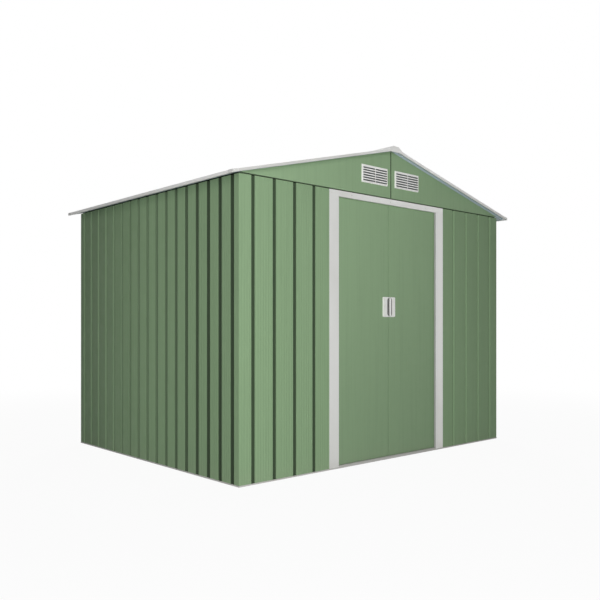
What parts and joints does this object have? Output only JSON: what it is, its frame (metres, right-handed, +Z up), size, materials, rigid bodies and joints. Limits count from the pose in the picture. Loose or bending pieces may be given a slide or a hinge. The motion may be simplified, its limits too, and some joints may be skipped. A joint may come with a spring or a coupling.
{
  "type": "metal storage shed",
  "caption": "Gable-roof garden shed of ribbed steel sheet on a base frame, with sliding double doors, louvred gable vents and light trims.",
  "frame": {"origin": "on the ground under the middle of the base frame", "axes": "+X to the right seen from the front, +Y from the front to the back, +Z up"},
  "size_m": [2.61, 2.02, 2.02],
  "materials": {
    "green_sheet": "satin",
    "light_grey_trim": "satin",
    "zinc_steel": "satin",
    "light_plastic": "matte"
  },
  "bodies": {
    "shed": {"base_rail_front": "light_grey_trim", "base_rail_right": "light_grey_trim", "base_rail_back": "light_grey_trim", "base_rail_left": "light_grey_trim", "door_sill": "light_grey_trim", "corner_front_left": "green_sheet", "corner_front_right": "green_sheet", "corner_back_right": "green_sheet", "corner_back_left": "green_sheet", "front_wall_left": "green_sheet", "front_wall_right": "green_sheet", "right_wall_front": "green_sheet", "right_wall_back": "green_sheet", "back_wall_right": "green_sheet", "back_wall_left": "green_sheet", "left_wall_back": "green_sheet", "left_wall_front": "green_sheet", "left_jamb": "light_grey_trim", "right_jamb": "light_grey_trim", "door_header": "light_grey_trim", "door_track": "zinc_steel", "back_top_rail": "zinc_steel", "side_top_rails": "zinc_steel", "wall_mid_rails": "zinc_steel", "front_gable_left": "green_sheet", "front_gable_right": "green_sheet", "back_gable_left": "green_sheet", "back_gable_right": "green_sheet", "gable_posts": "zinc_steel", "gable_vents": "light_plastic", "roof_purlins": "zinc_steel", "left_roof_front": "green_sheet", "left_roof_back": "green_sheet", "right_roof_front": "green_sheet", "right_roof_back": "green_sheet", "ridge_cap": "light_grey_trim", "verge_trims": "light_grey_trim", "eave_trims": "light_grey_trim", "roof_end_caps": "light_plastic"},
    "left_door": {"left_door_leaf": "green_sheet", "left_door_braces": "zinc_steel", "left_door_runners": "light_plastic", "left_door_handle": "light_plastic"},
    "right_door": {"right_door_leaf": "green_sheet", "right_door_braces": "zinc_steel", "right_door_runners": "light_plastic", "right_door_handle": "light_plastic"}
  },
  "joints": [
    {"name": "left_door_slide", "type": "slide", "parent": "shed", "child": "left_door", "axis": [-1, 0, 0], "range_m": [0, 0.415]},
    {"name": "right_door_slide", "type": "slide", "parent": "shed", "child": "right_door", "axis": [1, 0, 0], "range_m": [0, 0.415]}
  ]
}
